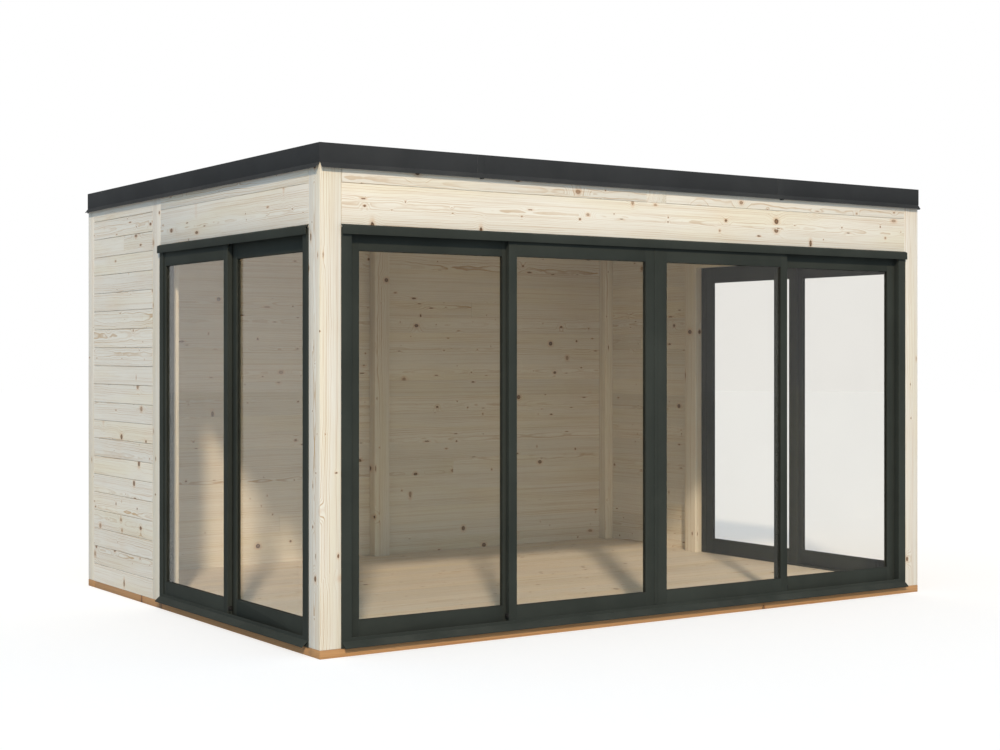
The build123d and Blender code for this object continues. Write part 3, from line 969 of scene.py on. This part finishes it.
class POD_OT_doors(bpy.types.Operator):
    """Builds the door frames, leaves, caps and seals and glazes them"""

    bl_idname = "pod.doors"
    bl_label = "Doors"

    # The stiles' hold past the glass, how far a cut passes a leaf's ends, and the gasket's edge
    stile_hair, past_end, gasket_edge = 0.0004, 0.01, 0.0006
    # The meeting strip's sides from the middle, its faces from the leaf's, and its foot
    strip_reach, strip_faces, strip_foot = (-0.014, 0.013), (-0.0022, -0.0003), 0.028
    # The meeting seal's faces from the leaf's, its gap to the other leaf, and both edges
    seal_faces, seal_gap, seal_edge = (0.0005, 0.022), 0.0005, 0.0008
    # A brush's half width, its gap to the fixed leaf, and its edge
    brush_half, brush_gap, brush_edge = 0.005, 0.0008, 0.001
    # A black plug, painted shade for the stile's dark open end: its ends from the stile's side,
    # heights over the fixed leaf's foot, gaps to the faces
    plug_reach, plug_heights, plug_gaps = (-0.003, 0.008), (0.038, 0.060), (0.001, 0.003)

    def ring(self, bm, run, row, depths, heights, width):
        """A flat ring of rubber round an opening, from one depth to another."""
        around = ((0, 0), (1, 0), (1, 1), (0, 1))
        points = [level_point(run, row[side], depths[0], heights[up]) for side, up in around]
        face = bm.faces.new([bm.verts.new(point) for point in points])
        bm.normal_update()
        ring = bmesh.ops.inset_region(
            bm, faces=[face], thickness=width, use_even_offset=True, use_boundary=True
        )["faces"]
        bmesh.ops.delete(bm, geom=[face], context="FACES_ONLY")
        push_out(bm, ring, level_point(run, 0.0, depths[1] - depths[0]))

    def bars(self, node, pane, run, sizes):
        """A leaf cut into its two stiles and the rails between them."""
        low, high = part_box(node)
        start, end = (corner[run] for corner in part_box(pane))
        hair = sizes.bite + self.stile_hair
        cuts = [low[run] - self.past_end, start + hair, end - hair, high[run] + self.past_end]
        edge = sizes.profile_edge / 2
        return joined(slice_of(node, run, *ends, edge) for ends in zip(cuts, cuts[1:]))

    def gasket(self, node, pane, run, sizes):
        """The rubber round both sides of a pane."""
        low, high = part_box(pane)
        near, far, bite, lip = low[1 - run], high[1 - run], sizes.bite, sizes.gasket_lip
        row, heights = (low[run] + bite, high[run] - bite), (low.z + bite, high.z - bite)
        bm = bmesh.new()
        for depths in ((near - lip, near), (far, far + lip)):
            self.ring(bm, run, row, depths, heights, sizes.gasket)
        bmesh.ops.recalc_face_normals(bm, faces=bm.faces)
        round_edges(bm, self.gasket_edge)
        finished(f"{node}_gasket", bm, seal_rubber(), body_of(node))

    def meeting(self):
        """The strip over the front doors' meeting stiles, and the seal behind it."""
        left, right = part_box("door_front_left_slider"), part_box("door_front_right_slider")
        face, middle, top = left[0].y, (left[1].x + right[0].x) / 2, left[1].z
        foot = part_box("door_front_left_fixed")[0].z + self.strip_foot
        strip = [middle + x for x in self.strip_reach]
        seal = left[1].x, right[0].x - self.seal_gap
        for name, finish, row, faces, low in (
            ("meeting_strip", door_metal(), strip, self.strip_faces, foot),
            ("meeting_seal", seal_rubber(), seal, self.seal_faces, left[0].z),
        ):
            bm = bmesh.new()
            block(bm, X, row, [face + y for y in faces], (low, top))
            round_edges(bm, self.seal_edge)
            finished(name, bm, finish, "slider_front_left")

    def brush(self, name):
        """The brush between a sliding and a fixed leaf, and a black plug at the stile's foot that is
        painted shade for its dark open end.
        """
        slider, fixed = f"door_{name}_slider", f"door_{name}_fixed"
        (low, high), (near, far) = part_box(slider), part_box(fixed)
        run = self.run_of(slider)
        deep = 1 - run
        middle = (max(low[run], near[run]) + min(high[run], far[run])) / 2
        if high[deep] < near[deep]:
            depths = high[deep], near[deep] - self.brush_gap
        else:
            depths = far[deep] + self.brush_gap, low[deep]
        bm = bmesh.new()
        row = middle - self.brush_half, middle + self.brush_half
        block(bm, run, row, depths, (low.z, high.z))
        # The meeting stile is hollow; a black plug at its foot is painted shade, standing in for the
        # dark of its open end
        side, outward = (low[run], -1) if low[run] > near[run] else (high[run], 1)
        row = [side + outward * reach for reach in self.plug_reach]
        depths = low[deep] + self.plug_gaps[0], high[deep] - self.plug_gaps[1]
        block(bm, run, row, depths, [near.z + height for height in self.plug_heights])
        round_edges(bm, self.brush_edge)
        finished(f"{name}_brush_seal", bm, seal_rubber(), body_of(slider))

    def run_of(self, node):
        """The level axis that a leaf lies along."""
        low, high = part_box(node)
        return X if high.x - low.x > high.y - low.y else Y

    def execute(self, context):
        sizes = context.scene.pod_doors
        for node in sorted(frame["nodes"]):
            if not node.startswith("door_") or node.endswith("_glass"):
                continue
            pane = f"{node}_glass"
            glazed, run = pane in frame["nodes"], self.run_of(node)
            if glazed:
                bm = self.bars(node, pane, run, sizes)
            else:
                bm = merged_copy(node)
                round_edges(bm, sizes.profile_edge)
            stand_in(node, f"{node}_profile", bm, door_metal())
            if glazed:
                frame["nodes"][pane].data.materials.clear()
                frame["nodes"][pane].data.materials.append(clear_glass())
                self.gasket(node, pane, run, sizes)
        self.meeting()
        for name in ("front_left", "front_right", "left", "right"):
            self.brush(name)
        return {"FINISHED"}


class POD_OT_stage(bpy.types.Operator):
    """Sets up the floor, the light and the camera"""

    bl_idname = "pod.stage"
    bl_label = "Stage"

    floor_radius = 60.0
    # The sky's back half lies this way from the pod, behind it and to the right
    back = (0.7071, 0.7071, 0.0)
    # Each lamp's strength, width in degrees and the way its light travels
    lamps = {
        "low_sun": ("sun", 4.0, (0.593, 1.0, -0.75)),
        "soft_glow": ("glow", 45.0, (0.5, 1.0, -0.28)),
    }
    lamp_place = (-4.0, -8.0, 5.0)
    # The camera's place, its turn in degrees and how far its view is lowered
    camera_place, camera_turn, camera_shift = (-5.9114, -8.8112, 1.4762), -33.94, -0.01956
    sensor, farthest = 36.0, 300.0

    def ground(self, scene):
        """The round floor that the pod stands on."""
        bm = bmesh.new()
        bmesh.ops.create_circle(bm, cap_ends=True, segments=64, radius=self.floor_radius)
        mesh = bpy.data.meshes.new("stage_floor")
        bm.to_mesh(mesh)
        bm.free()
        floor = bpy.data.objects.new("stage_floor", mesh)
        scene.collection.objects.link(floor)
        mesh.materials.append(stage_ground())
        floor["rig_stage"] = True

    def sky(self, scene):
        """Soft light from all round, and plain white in view."""
        sizes = scene.pod_stage
        scene.world = bpy.data.worlds.new("studio")
        scene.world.use_nodes = True
        light = scene.world.node_tree.nodes["Background"]
        direction = place("TexCoord", beside=light).outputs["Object"]
        behind = span(vector("DOT_PRODUCT", direction, self.back, result=1), 0.0, 0.5)
        feed(light, Color=blend(behind, sizes.sky_front, sizes.sky_back))
        white = place("Background", beside=light, Color=[1.0] * 3, Strength=1.0)
        path = place("LightPath", beside=light).outputs
        seen = in_view(path, path["Is Glossy Ray"])
        mixed = place("MixShader", s0=seen, s1=light.outputs[0], s2=white.outputs[0])
        show(mixed, "World Output")

    def sun(self, scene, name, energy, width, travel):
        """One lamp whose light travels one way."""
        lamp = bpy.data.lights.new(name, "SUN")
        lamp.energy = energy
        lamp.color = scene.pod_stage.sun_colour
        lamp.angle = math.radians(width)
        sun = bpy.data.objects.new(name, lamp)
        sun.rotation_euler = Vector(travel).to_track_quat("-Z", "Y").to_euler()
        sun.location = self.lamp_place
        scene.collection.objects.link(sun)

    def camera(self, scene):
        """The camera, which stands level off the pod's front left corner."""
        lens = bpy.data.cameras.new("camera")
        lens.lens = scene.pod_stage.lens * 1000
        lens.sensor_width = self.sensor
        lens.shift_y = self.camera_shift
        lens.clip_end = self.farthest
        scene.camera = bpy.data.objects.new("camera", lens)
        scene.camera.location = self.camera_place
        scene.camera.rotation_euler = (math.radians(90.0), 0.0, math.radians(self.camera_turn))
        scene.collection.objects.link(scene.camera)

    def execute(self, context):
        scene = context.scene
        self.ground(scene)
        self.sky(scene)
        for name, (energy, width, travel) in self.lamps.items():
            self.sun(scene, name, getattr(scene.pod_stage, energy), width, travel)
        self.camera(scene)
        scene.view_settings.view_transform = "Standard"
        return {"FINISHED"}


class POD_PT_panel(bpy.types.Panel):
    """Settings and parts of the garden office pod."""

    bl_idname = "POD_PT_panel"
    bl_label = "Garden office pod"
    bl_space_type = "VIEW_3D"
    bl_region_type = "UI"
    bl_category = "Garden pod"

    def draw(self, context):
        for settings in SETTINGS:
            box = self.layout.box()
            for name in SETTINGS[settings].__annotations__:
                box.prop(getattr(context.scene, settings), name)
        for operator in OPERATORS:
            self.layout.operator(operator.bl_idname)


SETTINGS = {
    "pod_timber": PodTimberSettings,
    "pod_roof": PodRoofSettings,
    "pod_doors": PodDoorSettings,
    "pod_stage": PodStageSettings,
}
OPERATORS = (POD_OT_walls, POD_OT_posts, POD_OT_base, POD_OT_roof, POD_OT_doors, POD_OT_stage)


def register():
    """Registers the settings, operators and panel."""
    for name, settings in SETTINGS.items():
        bpy.utils.register_class(settings)
        setattr(bpy.types.Scene, name, bpy.props.PointerProperty(type=settings))
    for item in (*OPERATORS, POD_PT_panel):
        bpy.utils.register_class(item)


def unregister():
    """Takes the settings, operators and panel away again."""
    for item in (POD_PT_panel, *reversed(OPERATORS)):
        bpy.utils.unregister_class(item)
    for name, settings in reversed(SETTINGS.items()):
        delattr(bpy.types.Scene, name)
        bpy.utils.unregister_class(settings)


def main():
    """Builds the pod on the loaded frame."""
    register()
    softwood_group()
    edge_group()
    dust_group()
    bpy.ops.pod.walls()
    bpy.ops.pod.posts()
    bpy.ops.pod.base()
    bpy.ops.pod.roof()
    bpy.ops.pod.doors()
    bpy.ops.pod.stage()
    boxes = {"cad": cad_box, "visual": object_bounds()}
    plain = {name: [list(corner) for corner in box] for name, box in boxes.items()}


if __name__ == "__main__":
    main()
